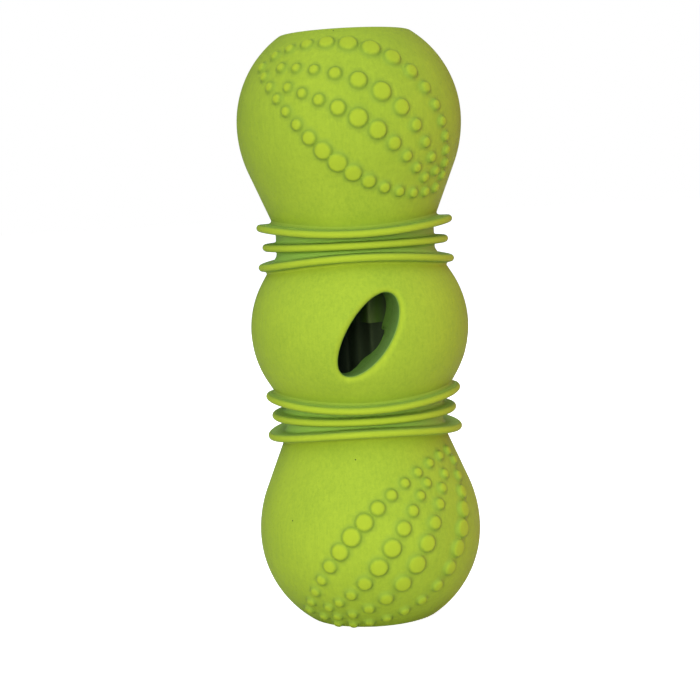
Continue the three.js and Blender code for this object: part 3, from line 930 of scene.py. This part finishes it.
@dataclass
class MiddleBulb(RubberPart):
    """The barrel-shaped middle of the body, with a slanted slot that has a soft rim."""

    wave: NeckWave
    slot_length: float = 25.4 * MM
    slot_width: float = 11.8 * MM
    slot_lean: float = 33.5
    slot_offset: float = -2.8 * MM
    rim_width: float = 2.1 * MM
    rim_depth: float = 1.7 * MM
    rim_steps: int = 9
    # The rim's painted shade deepens towards the wall by this power, and a painted highlight runs along the
    # rim.
    rim_shade_power: float = 2.4
    rim_highlight: float = 0.5
    wall_steps: int = 6
    loop_points: int = 150
    columns: int = 176
    rim_loops: tuple[float, ...] = (0.45 * MM, 1.0 * MM)
    rim_margin: float = 0.5 * MM
    bore_margin: float = 0.6 * MM
    bore_rows: int = 60
    trim: float = 0.02 * MM

    @property
    def node(self) -> str:
        """The CAD node that the bulb stands for."""
        return "middle_bulb"

    def ellipse(self, widening: float) -> tuple[np.ndarray, np.ndarray]:
        """Points of the slot's outline, seen from the front.

        Args:
            widening: How far the outline is widened all round.

        Returns:
            The points' x and their heights above the middle plane.
        """
        turn = turns(self.loop_points)
        along = (self.slot_length / 2 + widening) * np.cos(turn)
        across = (self.slot_width / 2 + widening) * np.sin(turn)
        lean = math.radians(self.slot_lean)
        return (
            self.slot_offset + along * math.sin(lean) + across * math.cos(lean),
            along * math.cos(lean) - across * math.sin(lean),
        )

    def inside(self, points: np.ndarray, widening: float) -> np.ndarray:
        """Tells which points lie within the widened slot.

        Args:
            points: Rows of points, with heights above the middle plane.
            widening: How far the slot's outline is widened all round.

        Returns:
            True for each point within it.
        """
        lean = math.radians(self.slot_lean)
        sideways = points[:, 0] - self.slot_offset
        along = sideways * math.sin(lean) + points[:, 2] * math.cos(lean)
        across = sideways * math.cos(lean) - points[:, 2] * math.sin(lean)
        reach = np.hypot(
            along / (self.slot_length / 2 + widening), across / (self.slot_width / 2 + widening)
        )
        return (reach < 1) & (points[:, 1] < 0)

    def loop(self, widening: float, radius: float | None = None) -> np.ndarray:
        """A closed loop of points round the slot.

        Args:
            widening: How far the slot's outline is widened.
            radius: Radius of the surface that the loop lies on, or None for the outer surface.

        Returns:
            Rows of points, with heights above the middle plane.
        """
        side, height = self.ellipse(widening)
        reach = self.outline.radius_at(height) if radius is None else radius
        return np.column_stack((side, -np.sqrt(reach ** 2 - side ** 2), height))

    def add_patch(
        self, skin: Skin, outline: np.ndarray, loops: list[np.ndarray], widening: float, margin: float,
        hollow: bool,
    ) -> None:
        """Adds a turned surface with the slot left open in it.

        Args:
            skin: The mesh in the making.
            outline: Rows of radius and height, from the lower joint to the upper one.
            loops: Loops of points on the surface, of which the first bounds the opening.
            widening: How far the opening is wider than the slot.
            margin: How much further the even rows of points stay away.
            hollow: Whether the surface faces the hollow and not the outside; the hollow side is painted dark
                as shade.
        """
        flat_map = ConformalMap.of(outline[:, 1], outline[:, 0], outline[:, 1])
        azimuths = np.linspace(-math.pi, math.pi, self.columns + 1)
        heights = flat_map.rows(FULL_TURN / self.columns)
        azimuth, height = (part.ravel() for part in np.meshgrid(azimuths, heights))
        grid = around(np.interp(height, outline[:, 1], outline[:, 0]), azimuth, height)
        free = ~self.inside(grid, widening + margin)
        rings = np.vstack(loops)
        azimuth = np.concatenate((azimuth_of(rings), azimuth[free]))
        points = np.vstack((rings, grid[free]))
        border = [(number, (number + 1) % self.loop_points) for number in range(self.loop_points)]
        sources, faces = triangulate(np.column_stack((azimuth, flat_map.flat(points[:, 2]))), border)
        corners = points[sources]
        kept = faces[~self.inside(corners[faces].mean(axis=1), widening - self.trim)]
        # The hollow side is painted with the wall's dark shade; the outside gets the neck's painted shade
        # and light.
        outside = self.wave.shade(corners, corners[:, 2] > 0)
        skin.patch(self.outline.place(corners), kept, np.where(hollow, WALL_DEPTH, outside))

    def add_slot_wall(self, skin: Skin) -> None:
        """Adds the rolled rim of the slot and its wall down to the hollow, with painted shade and a painted
        highlight.

        Args:
            skin: The mesh in the making.
        """
        rows, shades = [], []
        for turn in np.linspace(QUARTER_TURN, 0, self.rim_steps + 1):
            row = self.loop(self.rim_width * (1 - math.cos(turn)))
            row[:, 1] += self.rim_depth * (1 - math.sin(turn))
            rows.append(row)
            # A painted highlight runs along the middle of the rim, painted shade deepens towards the wall,
            # and the wall is painted dark.
            painted_rim_highlight = self.rim_highlight * math.sin(2 * turn) ** 2
            shades.append(WALL_DEPTH * (1 - math.sin(turn)) ** self.rim_shade_power - painted_rim_highlight)
        inner, edge = self.loop(0.0, self.outline.bore_radius), rows[-1]
        for part in np.linspace(0, 1, self.wall_steps + 1)[1:]:
            rows.append(edge + (inner - edge) * part)
            shades.append(WALL_DEPTH)
        skin.rows([self.outline.place(row) for row in rows], shades)

    def build(self) -> bpy.types.Object:
        """Builds the barrel as one closed mesh.

        Returns:
            The new piece.
        """
        outline = self.outline
        joint = outline.neck_centre - outline.clearance / 2
        half = np.vstack((outline.barrel(), [(outline.neck_radius, joint)]))
        whole = np.vstack((half[:0:-1] * (1, -1), half))
        skin = Skin()
        loops = [self.loop(self.rim_width + extra) for extra in (0.0, *self.rim_loops)]
        self.add_patch(skin, whole, loops, self.rim_width, self.rim_loops[-1] + self.rim_margin, False)
        bore = np.linspace((outline.bore_radius, -joint), (outline.bore_radius, joint), self.bore_rows)
        self.add_patch(skin, bore, [self.loop(0.0, outline.bore_radius)], 0.0, self.bore_margin, True)
        self.add_slot_wall(skin)
        azimuths = np.linspace(-math.pi, math.pi, self.columns + 1)[:-1]
        for height in (-joint, joint):
            skin.rows([
                outline.place(around(radius, azimuths, height))
                for radius in (outline.neck_radius, outline.bore_radius)
            ])
        return skin.piece("middle_slotted_bulb")


@dataclass
class NeckRing(RubberPart):
    """A thin ring round a neck, a little thicker at its root and rounded along its rim."""

    wave: NeckWave
    end: End
    place: RingPlace
    reach: float = 5.3 * MM
    middle_reach: float = 3.9 * MM
    tip_half: float = 1.04 * MM
    root_half: float = 1.14 * MM
    valley_fillet: float = 1.0 * MM
    bulb_fillet: float = 1.3 * MM
    sink: float = 0.12 * MM
    hidden_depth: float = 1.5 * MM
    columns: int = 288
    fillet_steps: int = 6
    tip_steps: int = 12
    # Painted shade on the ring's flanks and a painted highlight along its tip.
    side_shade: float = 0.7
    tip_highlight: float = 0.8

    @property
    def node(self) -> str:
        """The CAD node that the ring stands for."""
        return f"{self.end.word}_ring_{self.place.word}"

    def middle(self, azimuth: np.ndarray) -> np.ndarray:
        """Heights of the ring's own middle above the toy's middle plane, at azimuths in radians."""
        return self.outline.neck_centre + self.place.value * self.wave.spacing(azimuth)

    def flank(self, side: int, azimuth: np.ndarray) -> list[tuple[np.ndarray, np.ndarray, np.ndarray]]:
        """One side of the ring's section, from the foot of its fillet to its tip.

        Args:
            side: 1 for the side towards the toy's end and -1 for the other one.
            azimuth: Angles in radians of the columns.

        Returns:
            Radius, height above the middle plane and painted light depth of each row.
        """
        faces_bulb = self.place.value == side
        under = side == -self.end.value
        valley = np.minimum(self.valley_fillet, self.wave.spacing(azimuth) / 2 - self.root_half)
        fillet = np.full(len(azimuth), self.bulb_fillet) if faces_bulb else valley
        rows = []
        for part in np.linspace(0, 1, self.fillet_steps + 1):
            turn = part * QUARTER_TURN
            away = self.root_half + fillet * (1 - math.sin(turn))
            height = self.middle(azimuth) + side * away
            standing = fillet * (1 - math.cos(turn)) - self.sink * (1 - part)
            # The flank's foot takes the bulb's painted depth where it faces a bulb, and full painted shade
            # in a valley.
            beside = self.wave.beside(away - self.wave.ring_half, under)
            foot = np.where(faces_bulb, beside, CREASE_DEPTH)
            depth = foot + (self.side_shade - foot) * part ** 2
            rows.append((self.outline.radius_at(height) + standing, height, depth))
        return rows

    def build(self) -> bpy.types.Object:
        """Builds the ring as one closed band.

        Returns:
            The new piece.
        """
        outline = self.outline
        azimuth = turns(self.columns)
        middle = self.middle(azimuth)
        reach = self.middle_reach if self.place is RingPlace.MIDDLE else self.reach
        rim = outline.neck_radius + reach - self.tip_half
        section = self.flank(-1, azimuth)
        for turn in np.linspace(-QUARTER_TURN, QUARTER_TURN, self.tip_steps + 1):
            radius = np.full(self.columns, rim + self.tip_half * math.cos(turn))
            # The tip gets a painted highlight and its sides painted shade.
            level = self.side_shade * math.sin(turn) ** 2 - self.tip_highlight * math.cos(turn) ** 2
            depth = np.full(self.columns, level)
            section.append((radius, middle + self.tip_half * math.sin(turn), depth))
        section.extend(reversed(self.flank(1, azimuth)))
        for side in (1, -1):
            height = middle + side * self.root_half
            depth = np.full(self.columns, CREASE_DEPTH)
            section.append((outline.radius_at(height) - self.hidden_depth, height, depth))
        skin = Skin()
        rows = [outline.place(around(radius, azimuth, height), self.end) for radius, height, _ in section]
        skin.rows(rows, [depth for _, _, depth in section], closed=True)
        return skin.piece(f"{self.end.word}_{self.place.word}_neck_ring")


@dataclass
class RibbedLiner(RubberPart):
    """One half of the ribbed tube inside the toy, cut open where the slot passes."""

    rubber: ClassVar[Slot] = Slot.LINER
    slot: MiddleBulb
    end: End
    wall: float = 1.4 * MM
    rib_height: float = 5.2 * MM
    rib_count: int = 11
    step: float = 1.4 * MM
    columns_per_rib: int = 28
    level_count: int = 40
    cut_depth: float = 50 * MM
    cut_margin: float = 0.05 * MM
    seam: float = 0.02 * MM
    # Painted light on the upper rib crests where light falls in through the slot: its azimuth, width,
    # falloff and strength.
    painted_light_azimuth: float = 154.0
    painted_light_width: float = 30.0
    painted_light_power: int = 3
    painted_light_depth: float = 1.8

    @property
    def node(self) -> str:
        """The CAD node that the liner stands for."""
        return f"{self.end.word}_liner"

    def crest(self, azimuth: np.ndarray) -> np.ndarray:
        """How far the ribs have risen at azimuths in radians, from 0 to 1."""
        return (1 + np.cos(self.rib_count * (azimuth - self.outline.front))) / 2

    def add_tube(self, skin: Skin) -> None:
        """Adds the whole tube, before it is cut.

        Args:
            skin: The mesh in the making.
        """
        outline = self.outline
        top = outline.half_length - outline.end_wall - outline.clearance
        heights = np.linspace(self.seam / 2, top, self.level_count + 1)
        azimuth = turns(self.rib_count * self.columns_per_rib) + outline.front
        step = self.step if self.end is End.UPPER else 0.0
        groove = outline.bore_radius - outline.clearance - self.wall - step
        bore = groove - self.rib_height * self.crest(azimuth)
        rows = [around(outline.bore_radius - self.seam, azimuth, height) for height in heights]
        rows.extend(around(bore, azimuth, height) for height in heights[::-1])
        skin.rows([outline.place(row, self.end) for row in rows], closed=True)

    def cutter(self) -> bpy.types.Object:
        """Makes the slot's own solid, for cutting.

        Returns:
            A new object that is removed after the cut.
        """
        side, height = self.slot.ellipse(0.0)
        skin = Skin()
        numbers = [
            skin.add(self.outline.place(np.column_stack((side, np.full(len(side), depth), height))))
            for depth in (-self.cut_depth, 0.0)
        ]
        skin.band(*numbers)
        skin.faces.extend(tuple(row.tolist()) for row in numbers)
        return skin.piece(f"{self.end.word}_slot_cutter")

    def shade(self, mesh: bpy.types.Mesh) -> None:
        """Paints shade on the inside of the tube, but not on the faces that the slot has cut.

        On the upper half, the rib crests towards one side get painted light, where light falls in through
        the slot.

        Args:
            mesh: The cut tube.
        """
        points = np.empty(len(mesh.vertices) * 3)
        mesh.vertices.foreach_get("co", points)
        points = points.reshape(-1, 3) - (0, 0, self.outline.half_length)
        cut = self.slot.inside(points, self.cut_margin)
        azimuth = azimuth_of(points)
        off = (azimuth - math.radians(self.painted_light_azimuth) + math.pi) % FULL_TURN - math.pi
        away = np.clip(np.abs(off) / math.radians(self.painted_light_width), 0, 1)
        # pale is painted light on the upper rib crests; the rest of the inside is painted shade.
        pale = (1 - away ** self.painted_light_power) * self.crest(azimuth) * (self.end is End.UPPER)
        depth = np.where(cut, BARE_DEPTH, CREASE_DEPTH - self.painted_light_depth * pale)
        mesh.attributes[PAINTED_LIGHT_LAYER].data.foreach_set("value", depth.astype(np.float32))

    def build(self) -> bpy.types.Object:
        """Builds the tube and cuts the slot out of it.

        Returns:
            The new piece.
        """
        skin = Skin()
        self.add_tube(skin)
        piece = skin.piece(f"{self.end.word}_ribbed_liner")
        cutter = self.cutter()
        cut = piece.modifiers.new("slot", "BOOLEAN")
        cut.operation, cut.solver, cut.object = "DIFFERENCE", "EXACT", cutter
        whole = piece.data
        piece.data = bpy.data.meshes.new_from_object(
            piece.evaluated_get(bpy.context.evaluated_depsgraph_get()))
        piece.modifiers.clear()
        for leftover in (whole, cutter.data):
            bpy.data.meshes.remove(leftover)
        piece.data.name = piece.name
        self.shade(piece.data)
        smooth(piece.data)
        return piece


@dataclass(frozen=True)
class NoiseLayer:
    """One layer of soft noise: the size of its blotches, its share of the tone and its finer detail."""

    size: float
    share: float
    detail: float
    roughness: float = 0.5


@dataclass(frozen=True)
class Dots:
    """Small dots: the usual distance between their places, their radius and the share of places taken."""

    spacing: float
    radius: float
    share: float


@dataclass
class NodeBench:
    """Lays out the nodes of a material or of the world."""

    tree: bpy.types.NodeTree

    def node(self, kind: str, **settings: object) -> bpy.types.Node:
        """Adds a node.

        Args:
            kind: The node's type name.
            settings: Values of its own properties.

        Returns:
            The new node.
        """
        made = self.tree.nodes.new(kind)
        for name, value in settings.items():
            setattr(made, name, value)
        return made

    def feed(self, target: Socket, value: Socket | Colour | float) -> None:
        """Gives an input its value.

        Args:
            target: The input.
            value: An output to link to it, or a colour or number to set on it.
        """
        if isinstance(value, Socket):
            self.tree.links.new(value, target)
        else:
            target.default_value = (*value, 1.0) if isinstance(value, tuple) else value

    def noise(self, place: Socket, layer: NoiseLayer) -> Socket:
        """Adds soft noise.

        Args:
            place: Where the noise takes its place from.
            layer: Its size and detail.

        Returns:
            The noise's value, from 0 to 1.
        """
        made = self.node("ShaderNodeTexNoise")
        for name, value in (
            ("Vector", place),
            ("Scale", 1 / layer.size),
            ("Detail", layer.detail),
            ("Roughness", layer.roughness),
        ):
            self.feed(made.inputs[name], value)
        return made.outputs["Fac"]

    def span(self, value: Socket, low: float, high: float, first: float = 0.0, last: float = 1.0) -> Socket:
        """Spreads a value over a new range.

        Args:
            value: The value.
            low: What becomes first.
            high: What becomes last.
            first: Start of the new range.
            last: End of the new range.

        Returns:
            The spread value, kept within its range.
        """
        made = self.node("ShaderNodeMapRange")
        for name, number in (
            ("Value", value), ("From Min", low), ("From Max", high), ("To Min", first), ("To Max", last),
        ):
            self.feed(made.inputs[name], number)
        return made.outputs["Result"]

    def sum(self, operation: str, first: Socket, second: Socket | float) -> Socket:
        """Joins two numbers.

        Args:
            operation: The sum's name.
            first: The first number.
            second: The second number.

        Returns:
            The result.
        """
        made = self.node("ShaderNodeMath", operation=operation)
        for target, value in zip(made.inputs, (first, second)):
            self.feed(target, value)
        return made.outputs["Value"]

    def mix(self, amount: Socket, first: Socket | Colour, second: Colour) -> Socket:
        """Mixes two colours.

        Args:
            amount: How much of the second colour there is.
            first: The first colour.
            second: The second colour.

        Returns:
            The mixed colour.
        """
        made = self.node("ShaderNodeMix", data_type="RGBA")
        inputs = {socket.identifier: socket for socket in made.inputs}
        for name, value in (("Factor_Float", amount), ("A_Color", first), ("B_Color", second)):
            self.feed(inputs[name], value)
        return next(socket for socket in made.outputs if socket.identifier == "Result_Color")


@dataclass(frozen=True)
class RubberFinish:
    """Moulded rubber: clouded colour, fine grain, faint streaks and rare specks, with painted shade in
    creases and painted highlights on ridges.
    """

    name: str
    deep: Colour
    pale: Colour
    # The next four colours are painted light: shade in grooves, neck valleys and on the slot wall, and a
    # highlight on ridges and tips.
    groove: Colour
    crease: Colour
    wall: Colour
    painted_highlight: Colour
    speck: Colour = (0.05, 0.07, 0.02)
    roughness: tuple[float, float] = (0.55, 0.72)
    specular: float = 0.12
    specular_tint: Colour = (1.0, 1.0, 0.3)
    cloud: NoiseLayer = NoiseLayer(size=17 * MM, share=0.3, detail=3.0)
    mottle: NoiseLayer = NoiseLayer(size=1.3 * MM, share=0.34, detail=3.0, roughness=0.65)
    grain: NoiseLayer = NoiseLayer(size=0.4 * MM, share=0.22, detail=2.0, roughness=0.6)
    streak: NoiseLayer = NoiseLayer(size=0.7 * MM, share=0.24, detail=2.0)
    noise_range: tuple[float, float] = (0.3, 0.7)
    tone_range: tuple[float, float] = (0.2, 0.8)
    grain_height: float = 0.045 * MM
    streak_lean: float = 28.0
    streak_stretch: tuple[float, float, float] = (1.0, 1.0, 0.07)
    glints: Dots = Dots(spacing=0.8 * MM, radius=0.16 * MM, share=0.5)
    glint_roughness: float = 0.22
    specks: Dots = Dots(spacing=8.5 * MM, radius=0.2 * MM, share=0.45)

    def tone(self, bench: NodeBench, place: Socket) -> Socket:
        """How pale the rubber is: clouds, mottling, grain and streaks.

        Args:
            bench: Where the nodes are laid out.
            place: Where on the toy a point lies.

        Returns:
            A value that is mostly from 0 to 1.
        """
        turn = bench.node("ShaderNodeMapping")
        turn.inputs["Rotation"].default_value = (0.0, math.radians(self.streak_lean), 0.0)
        turn.inputs["Scale"].default_value = self.streak_stretch
        bench.feed(turn.inputs["Vector"], place)
        layers = [(layer, place) for layer in (self.cloud, self.mottle, self.grain)]
        layers.append((self.streak, turn.outputs["Vector"]))
        tone, *others = (
            bench.span(bench.noise(spot, layer), *self.noise_range, 0.0, layer.share)
            for layer, spot in layers
        )
        for part in others:
            tone = bench.sum("ADD", tone, part)
        return tone

    def scatter(self, bench: NodeBench, place: Socket, dots: Dots) -> Socket:
        """Small dots scattered over the rubber.

        Args:
            bench: Where the nodes are laid out.
            place: Where on the toy a point lies.
            dots: The dots.

        Returns:
            1 on a dot and 0 elsewhere.
        """
        cells = bench.node("ShaderNodeTexVoronoi")
        bench.feed(cells.inputs["Scale"], 1 / dots.spacing)
        bench.feed(cells.inputs["Vector"], place)
        near = bench.sum("LESS_THAN", cells.outputs["Distance"], dots.radius / dots.spacing)
        parts = bench.node("ShaderNodeSeparateColor")
        bench.feed(parts.inputs["Color"], cells.outputs["Color"])
        return bench.sum("MULTIPLY", near, bench.sum("LESS_THAN", parts.outputs["Red"], dots.share))

    def material(self) -> bpy.types.Material:
        """Makes the finish's material.

        Returns:
            The new material.
        """
        material = bpy.data.materials.new(self.name)
        material.use_nodes = True
        bench = NodeBench(material.node_tree)
        place = bench.node("ShaderNodeTexCoord").outputs["Object"]
        tone = self.tone(bench, place)
        colour = bench.mix(tone, self.deep, self.pale)
        depth = bench.node("ShaderNodeAttribute", attribute_name=PAINTED_LIGHT_LAYER).outputs["Fac"]
        # Paints light and shade by the painted light depth, tone by tone.
        for start, full, paint in (
            (BARE_DEPTH, HIGHLIGHT_DEPTH, self.painted_highlight),
            (BARE_DEPTH, GROOVE_DEPTH, self.groove),
            (GROOVE_DEPTH, CREASE_DEPTH, self.crease),
            (CREASE_DEPTH, WALL_DEPTH, self.wall),
        ):
            colour = bench.mix(bench.span(depth, start, full), colour, paint)
        dull = bench.span(tone, *self.tone_range, *self.roughness)
        glossy = bench.span(self.scatter(bench, place, self.glints), 0.0, 1.0, 1.0, self.glint_roughness)
        bump = bench.node("ShaderNodeBump")
        bench.feed(bump.inputs["Distance"], self.grain_height)
        bench.feed(bump.inputs["Strength"], 1.0)
        bench.feed(bump.inputs["Height"], bench.noise(place, self.grain))
        shader = material.node_tree.nodes["Principled BSDF"]
        for name, value in (
            ("Base Color", bench.mix(self.scatter(bench, place, self.specks), colour, self.speck)),
            ("Roughness", bench.sum("MULTIPLY", dull, glossy)),
            ("Specular IOR Level", self.specular),
            ("Specular Tint", self.specular_tint),
            ("Normal", bump.outputs["Normal"]),
        ):
            bench.feed(shader.inputs[name], value)
        return material


LIME_RUBBER = RubberFinish(
    name="lime_rubber",
    deep=(0.222, 0.334, 0.03),
    pale=(0.345, 0.467, 0.038),
    # Painted light, in order: a groove shade, a greener tone for the neck valleys, a dark shade for the slot
    # wall and a paler highlight for ridges and tips.
    groove=(0.222, 0.335, 0.04),
    crease=(0.305, 0.515, 0.095),
    wall=(0.15, 0.285, 0.066),
    painted_highlight=(0.345, 0.45, 0.028),
)
# A shaded copy of the lime rubber for the inside of the toy: painted shade, darker all over, with a painted
# highlight on the crests where light falls in.
SHADED_HOLLOW_RUBBER = RubberFinish(
    name="shaded_hollow_rubber",
    deep=(0.145, 0.3, 0.062),
    pale=(0.165, 0.34, 0.07),
    groove=(0.11, 0.215, 0.064),
    crease=(0.065, 0.1, 0.065),
    wall=(0.065, 0.1, 0.065),
    painted_highlight=(0.34, 0.5, 0.2),
    roughness=(0.5, 0.65),
)


@dataclass(frozen=True)
class SoftLight:
    """A soft round light, placed by where it stands seen from the toy's middle.

    It aims below the toy's middle by its drop, and its brightness is its share of the toy's own.
    """

    name: str
    azimuth: float
    elevation: float
    distance: float
    size: float
    brightness: float
    colour: Colour = WHITE
    drop: float = 0.0
    spread: float = WIDEST_SPREAD
    in_gloss: bool = True

    @property
    def beam(self) -> float:
        """How much brighter the light is along its axis because its beam is narrow."""
        half = math.radians(self.spread / 2)
        return 1.0 if self.spread >= WIDEST_SPREAD else math.tan(half) / (math.tan(half) - half)

    def place(self, target: Vector) -> None:
        """Puts the light up.

        Args:
            target: The toy's middle.
        """
        lamp = bpy.data.lights.new(self.name, "AREA")
        lamp.shape, lamp.size = "DISK", self.size
        lamp.energy = self.brightness * math.pi ** 2 * self.distance ** 2 / self.beam
        lamp.spread = math.radians(self.spread)
        lamp.color = self.colour
        azimuth, elevation = math.radians(self.azimuth), math.radians(self.elevation)
        away = self.distance * Vector(around(math.cos(elevation), azimuth, math.sin(elevation))[0])
        stand = bpy.data.objects.new(self.name, lamp)
        stand.location = target + away
        axis = away + Vector((0.0, 0.0, self.drop))
        stand.rotation_euler = axis.to_track_quat("Z", "Y").to_euler()
        stand.visible_camera = False
        stand.visible_glossy = self.in_gloss
        bpy.context.scene.collection.objects.link(stand)


@dataclass(frozen=True)
class Studio:
    """A pale floor, soft light from all round, and the photograph's point of view."""

    outline: BodyOutline
    sky: float = 0.5
    sky_colour: Colour = (0.95, 1.0, 1.36)
    sky_in_gloss: float = 0.25
    backdrop: float = 1.0
    floor_colour: Colour = (0.6, 0.6, 0.6)
    floor_glow: float = 0.9
    floor_rings: tuple[float, ...] = (0.1, 0.4, 1.5, 6.0)
    floor_drop: float = 0.05 * MM
    floor_edges: int = 96
    lights: tuple[SoftLight, ...] = (
        SoftLight("front_light", azimuth=-20.0, elevation=7.0, distance=0.8, size=0.3, brightness=0.84,
                  colour=(0.98, 0.955, 0.63), drop=0.15, spread=84.0),
        SoftLight("right_light", azimuth=98.0, elevation=4.0, distance=0.9, size=0.5, brightness=0.42,
                  colour=(1.0, 0.22, 0.06), in_gloss=False),
        SoftLight("back_light", azimuth=170.0, elevation=20.0, distance=0.9, size=0.7, brightness=0.6,
                  in_gloss=False),
        SoftLight("top_light", azimuth=-16.0, elevation=44.0, distance=0.9, size=1.2, brightness=0.48,
                  in_gloss=False),
    )
    camera_azimuth: float = -10.54
    camera_distance: float = 480 * MM
    camera_height: float = 40.39 * MM
    yaw: float = -0.373
    pitch: float = -5.576
    roll: float = 3.109
    focal_pixels: float = 1693.0
    frame_pixels: float = 700.0
    sensor: float = 36.0
    near_clip: float = 10 * MM

    def build_floor(self) -> bpy.types.Object:
        """Builds the floor that the toy stands on.

        Returns:
            The floor.
        """
        skin = Skin()
        skin.rows([around(radius, turns(self.floor_edges), -self.floor_drop) for radius in self.floor_rings])
        skin.faces.append(tuple(range(self.floor_edges)))
        floor = skin.piece("pale_floor")
        material = bpy.data.materials.new("pale_floor_paper")
        material.use_nodes = True
        bench = NodeBench(material.node_tree)
        seen = bench.node("ShaderNodeLightPath").outputs["Is Camera Ray"]
        shader = material.node_tree.nodes["Principled BSDF"]
        for name, value in (
            ("Base Color", self.floor_colour),
            ("Roughness", 1.0),
            ("Specular IOR Level", 0.0),
            ("Emission Color", WHITE),
            ("Emission Strength", bench.span(seen, 0.0, 1.0, 0.0, self.floor_glow)),
        ):
            bench.feed(shader.inputs[name], value)
        floor.data.materials.append(material)
        return floor

    def build_sky(self) -> None:
        """Makes the even light from all round, which the camera sees as a white backdrop."""
        world = bpy.data.worlds.new("studio_light")
        world.use_nodes = True
        bench = NodeBench(world.node_tree)
        rays = bench.node("ShaderNodeLightPath").outputs
        seen, mirrored = rays["Is Camera Ray"], rays["Is Glossy Ray"]
        strength = bench.span(seen, 0.0, 1.0, self.sky, self.backdrop)
        in_gloss = bench.span(mirrored, 0.0, 1.0, 1.0, self.sky_in_gloss)
        shade = world.node_tree.nodes["Background"]
        bench.feed(shade.inputs["Color"], bench.mix(seen, self.sky_colour, WHITE))
        bench.feed(shade.inputs["Strength"], bench.sum("MULTIPLY", strength, in_gloss))
        bpy.context.scene.world = world

    def build_camera(self) -> None:
        """Puts the camera where the photograph was taken from."""
        azimuth = math.radians(self.camera_azimuth)
        yaw, pitch, roll = (math.radians(angle) for angle in (self.yaw, self.pitch, self.roll))
        ahead = Vector((math.sin(yaw) * math.cos(pitch), math.cos(yaw) * math.cos(pitch), math.sin(pitch)))
        level = Vector((math.cos(yaw), -math.sin(yaw), 0.0))
        down = ahead.cross(level)
        right = math.cos(roll) * level + math.sin(roll) * down
        below = -math.sin(roll) * level + math.cos(roll) * down
        turn = Matrix.Rotation(azimuth, 3, "Z")
        view = Matrix((turn @ right, turn @ -below, turn @ -ahead)).transposed().to_4x4()
        height = self.outline.half_length + self.camera_height
        view.translation = around(self.camera_distance, azimuth, height)[0]
        lens = bpy.data.cameras.new("photo_camera")
        lens.sensor_fit, lens.sensor_width = "HORIZONTAL", self.sensor
        lens.lens = self.focal_pixels / self.frame_pixels * self.sensor
        lens.clip_start = self.near_clip
        camera = bpy.data.objects.new("photo_camera", lens)
        camera.matrix_world = view
        bpy.context.scene.collection.objects.link(camera)
        bpy.context.scene.camera = camera

    def build(self) -> None:
        """Sets up the floor, the sky, the lights and the camera."""
        self.build_floor()
        self.build_sky()
        middle = Vector((0.0, 0.0, self.outline.half_length))
        for light in self.lights:
            light.place(middle)
        self.build_camera()
        bpy.context.scene.view_settings.view_transform = "Standard"


def main() -> None:
    """Builds the toy and its studio, piece by piece."""
    logging.basicConfig(level=logging.INFO, format="%(name)s: %(message)s")
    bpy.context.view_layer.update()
    outline = BodyOutline()
    wave = NeckWave(outline)
    finishes = {Slot.GREEN: LIME_RUBBER.material(), Slot.LINER: SHADED_HOLLOW_RUBBER.material()}
    middle = MiddleBulb(outline, wave)
    parts: list[RubberPart] = [middle]
    for end in End:
        parts.append(EndBulb(outline, wave, end))
        parts.extend(NeckRing(outline, wave, end, place) for place in RingPlace)
        parts.append(RibbedLiner(outline, middle, end))
    for part in parts:
        piece = part.build()
        part.dress(piece, finishes)
        LOG.info("%s stands for %s, %d points", piece.name, part.node, len(piece.data.vertices))
    Studio(outline).build()


if __name__ == "__main__":
    main()
